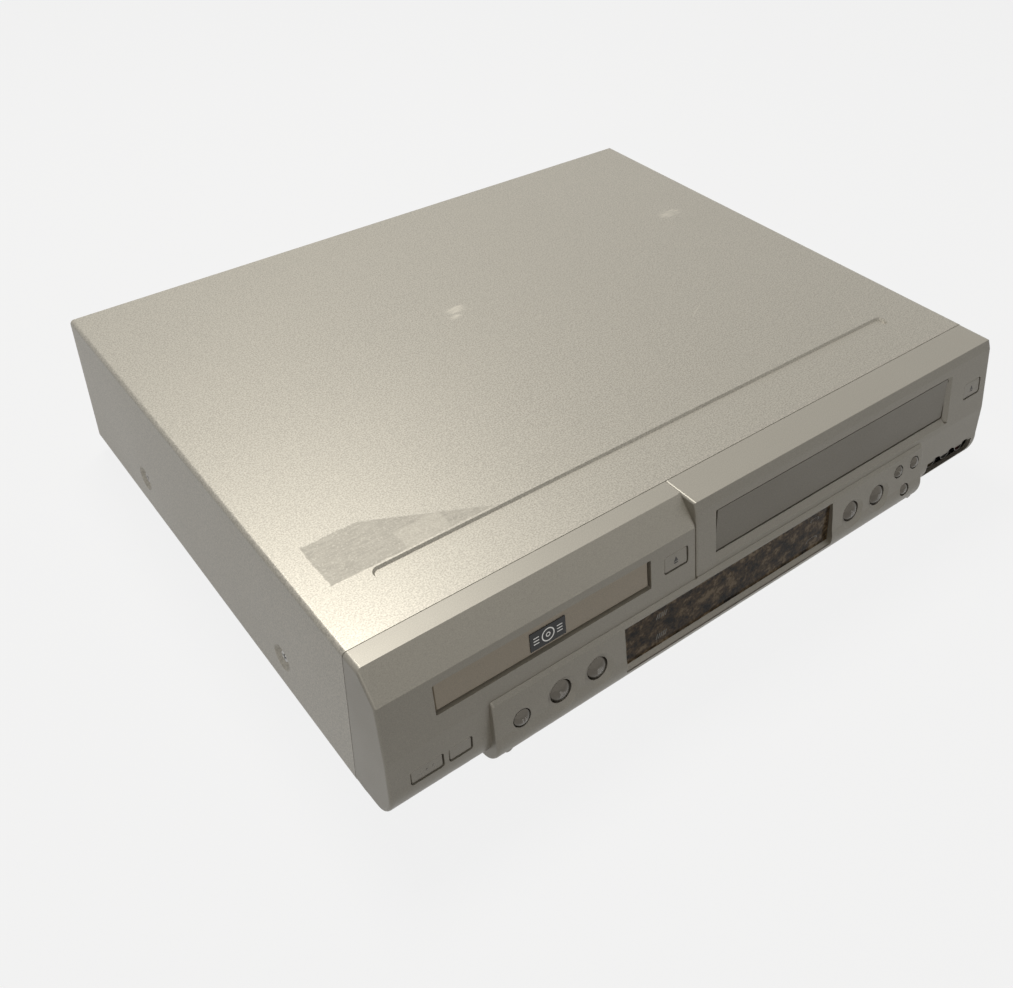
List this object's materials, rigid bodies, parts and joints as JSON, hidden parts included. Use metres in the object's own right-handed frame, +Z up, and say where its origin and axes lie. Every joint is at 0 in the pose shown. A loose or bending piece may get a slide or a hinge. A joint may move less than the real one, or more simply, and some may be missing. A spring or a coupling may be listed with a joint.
{
  "type": "dvd vcr combo player",
  "caption": "Silver disc and cassette combo player with a sliding disc tray, a hinged cassette flap, a dark display window and round bright buttons.",
  "frame": {"origin": "middle of the footprint, on the surface the feet stand on", "axes": "+X to the player's right as seen from the front, +Y to the back, +Z up"},
  "size_m": [0.43, 0.3623, 0.0975],
  "materials": {
    "silver_paint": "silver metallic paint on moulded plastic, fine speckle",
    "cover_paint": "silver metallic paint on sheet steel",
    "zinc_steel": "zinc plated sheet steel",
    "foot_plastic": "black moulded plastic",
    "foot_rubber": "black rubber",
    "screw_steel": "plated screws",
    "smoked_window": "smoked mirror window",
    "module_black": "black display module",
    "board_resin": "tan paper board",
    "socket_black": "black moulded plastic",
    "nickel": "nickel plated",
    "socket_yellow": "yellow plastic",
    "socket_white": "white plastic",
    "socket_red": "red plastic",
    "tuner_tin": "tinned steel can",
    "bushing_black": "black strain relief bushing",
    "loader_plastic": "black moulded frame",
    "rod_steel": "ground steel rods",
    "motor_can": "plated motor can",
    "turntable_plastic": "black plastic with a rubber face",
    "clamp_plastic": "white plastic",
    "pickup_metal": "die cast",
    "tray_plastic": "dark moulded plastic",
    "door_paint": "pale champagne paint",
    "plaque_black": "black gloss plastic",
    "gear_white": "white acetal",
    "flap_paint": "silver metallic paint",
    "basket_steel": "zinc plated sheet steel",
    "drum_aluminium": "turned aluminium",
    "reel_plastic": "black plastic",
    "capstan_brass": "brass flywheel",
    "guide_chrome": "polished guide posts",
    "parts_black": "black components",
    "bar_paint": "silver paint",
    "chrome_button": "bright plated plastic"
  },
  "bodies": {
    "cabinet": {"front_bezel": "silver_paint", "top_cover": "cover_paint", "chassis_pan": "zinc_steel", "rear_panel": "zinc_steel", "deck_plate": "zinc_steel", "feet": "foot_plastic", "foot_pads": "foot_rubber", "cover_screws": "screw_steel", "display_window": "smoked_window", "display_module": "module_black", "front_board": "board_resin", "main_board": "board_resin", "power_board": "board_resin", "socket_block": "socket_black", "rear_block": "socket_black", "front_shells": "nickel", "rear_shells": "nickel", "front_socket_yellow": "socket_yellow", "rear_socket_yellow": "socket_yellow", "front_socket_white": "socket_white", "rear_socket_white": "socket_white", "front_socket_red": "socket_red", "rear_socket_red": "socket_red", "tuner_box": "tuner_tin", "cord_bushing": "bushing_black", "loader_frame": "loader_plastic", "clamp_bridge": "loader_plastic", "pickup_rods": "rod_steel", "spindle_motor": "motor_can", "lower_drum": "drum_aluminium", "tape_guides": "guide_chrome", "main_parts": "parts_black", "power_parts": "parts_black"},
    "tray": {"disc_tray": "tray_plastic", "tray_door": "door_paint", "door_plaque": "plaque_black"},
    "gear": {"tray_gear": "gear_white"},
    "turntable": {"turntable": "turntable_plastic"},
    "clamp": {"disc_clamp": "clamp_plastic"},
    "pickup": {"pickup": "pickup_metal"},
    "flap": {"flap": "flap_paint"},
    "basket": {"cassette_basket": "basket_steel"},
    "upper_drum": {"upper_drum": "drum_aluminium"},
    "supply_reel": {"supply_reel": "reel_plastic"},
    "takeup_reel": {"takeup_reel": "reel_plastic"},
    "capstan": {"capstan": "capstan_brass"},
    "power_button": {"power_button": "bar_paint"},
    "output_button": {"output_button": "bar_paint"},
    "open_button": {"open_button": "bar_paint"},
    "eject_button": {"eject_button": "bar_paint"},
    "pause_button": {"pause_button": "chrome_button"},
    "disc_play_button": {"disc_play_button": "chrome_button"},
    "disc_stop_button": {"disc_stop_button": "chrome_button"},
    "tape_play_button": {"tape_play_button": "chrome_button"},
    "tape_stop_button": {"tape_stop_button": "chrome_button"},
    "channel_down_button": {"channel_down_button": "chrome_button"},
    "channel_up_button": {"channel_up_button": "chrome_button"},
    "record_button": {"record_button": "chrome_button"}
  },
  "joints": [
    {"name": "tray_slide", "type": "slide", "parent": "cabinet", "child": "tray", "axis": [0, -1, 0], "range_m": [0, 0.135]},
    {"name": "gear_turn", "type": "hinge", "parent": "cabinet", "child": "gear", "pos_m": [-0.16905, -0.1387, 0.0672], "axis": [0, 0, 1], "range_deg": [0, 780]},
    {"name": "turntable_spin", "type": "hinge", "parent": "cabinet", "child": "turntable", "pos_m": [-0.12455, -0.1017, 0.072], "axis": [0, 0, 1], "continuous": true},
    {"name": "clamp_spin", "type": "hinge", "parent": "cabinet", "child": "clamp", "pos_m": [-0.12455, -0.1017, 0.084], "axis": [0, 0, 1], "continuous": true},
    {"name": "pickup_slide", "type": "slide", "parent": "cabinet", "child": "pickup", "axis": [0, 1, 0], "range_m": [0, 0.036]},
    {"name": "flap_hinge", "type": "hinge", "parent": "cabinet", "child": "flap", "pos_m": [0.0785, -0.1659, 0.0842], "axis": [1, 0, 0], "range_deg": [0, 80], "stiffness_Nm_per_rad": 0.002, "springref_deg": -17.19},
    {"name": "basket_slide", "type": "slide", "parent": "cabinet", "child": "basket", "axis": [0, 1, 0], "range_m": [0, 0.06]},
    {"name": "drum_spin", "type": "hinge", "parent": "cabinet", "child": "upper_drum", "pos_m": [0.0785, 0.0593, 0.048], "axis": [0, 0, 1], "continuous": true},
    {"name": "supply_spin", "type": "hinge", "parent": "cabinet", "child": "supply_reel", "pos_m": [0.0325, -0.0227, 0.03], "axis": [0, 0, 1], "continuous": true},
    {"name": "takeup_spin", "type": "hinge", "parent": "cabinet", "child": "takeup_reel", "pos_m": [0.1245, -0.0227, 0.03], "axis": [0, 0, 1], "continuous": true},
    {"name": "capstan_spin", "type": "hinge", "parent": "cabinet", "child": "capstan", "pos_m": [0.1505, 0.0323, 0.026], "axis": [0, 0, 1], "continuous": true},
    {"name": "power_press", "type": "slide", "parent": "cabinet", "child": "power_button", "axis": [0, 0.9976, -0.0698], "range_m": [0, 0.001], "stiffness_N_per_m": 400, "springref_m": -0.0005},
    {"name": "output_press", "type": "slide", "parent": "cabinet", "child": "output_button", "axis": [0, 0.9976, -0.0698], "range_m": [0, 0.001], "stiffness_N_per_m": 400, "springref_m": -0.0005},
    {"name": "open_press", "type": "slide", "parent": "cabinet", "child": "open_button", "axis": [0, 0.9871, -0.1604], "range_m": [0, 0.001], "stiffness_N_per_m": 400, "springref_m": -0.0005},
    {"name": "eject_press", "type": "slide", "parent": "cabinet", "child": "eject_button", "axis": [0, 0.9871, -0.1604], "range_m": [0, 0.001], "stiffness_N_per_m": 400, "springref_m": -0.0005},
    {"name": "pause_press", "type": "slide", "parent": "cabinet", "child": "pause_button", "axis": [0, 0.9871, -0.1604], "range_m": [0, 0.001], "stiffness_N_per_m": 400, "springref_m": -0.0005},
    {"name": "disc_play_press", "type": "slide", "parent": "cabinet", "child": "disc_play_button", "axis": [0, 0.9871, -0.1604], "range_m": [0, 0.001], "stiffness_N_per_m": 400, "springref_m": -0.0005},
    {"name": "disc_stop_press", "type": "slide", "parent": "cabinet", "child": "disc_stop_button", "axis": [0, 0.9871, -0.1604], "range_m": [0, 0.001], "stiffness_N_per_m": 400, "springref_m": -0.0005},
    {"name": "tape_play_press", "type": "slide", "parent": "cabinet", "child": "tape_play_button", "axis": [0, 0.9871, -0.1604], "range_m": [0, 0.001], "stiffness_N_per_m": 400, "springref_m": -0.0005},
    {"name": "tape_stop_press", "type": "slide", "parent": "cabinet", "child": "tape_stop_button", "axis": [0, 0.9871, -0.1604], "range_m": [0, 0.001], "stiffness_N_per_m": 400, "springref_m": -0.0005},
    {"name": "channel_down_press", "type": "slide", "parent": "cabinet", "child": "channel_down_button", "axis": [0, 0.9871, -0.1604], "range_m": [0, 0.001], "stiffness_N_per_m": 400, "springref_m": -0.0005},
    {"name": "channel_up_press", "type": "slide", "parent": "cabinet", "child": "channel_up_button", "axis": [0, 0.9871, -0.1604], "range_m": [0, 0.001], "stiffness_N_per_m": 400, "springref_m": -0.0005},
    {"name": "record_press", "type": "slide", "parent": "cabinet", "child": "record_button", "axis": [0, 0.9871, -0.1604], "range_m": [0, 0.001], "stiffness_N_per_m": 400, "springref_m": -0.0005}
  ],
  "couplings": [
    {"joint": "gear_turn", "follows": "tray_slide", "rad_per_m": 100}
  ]
}
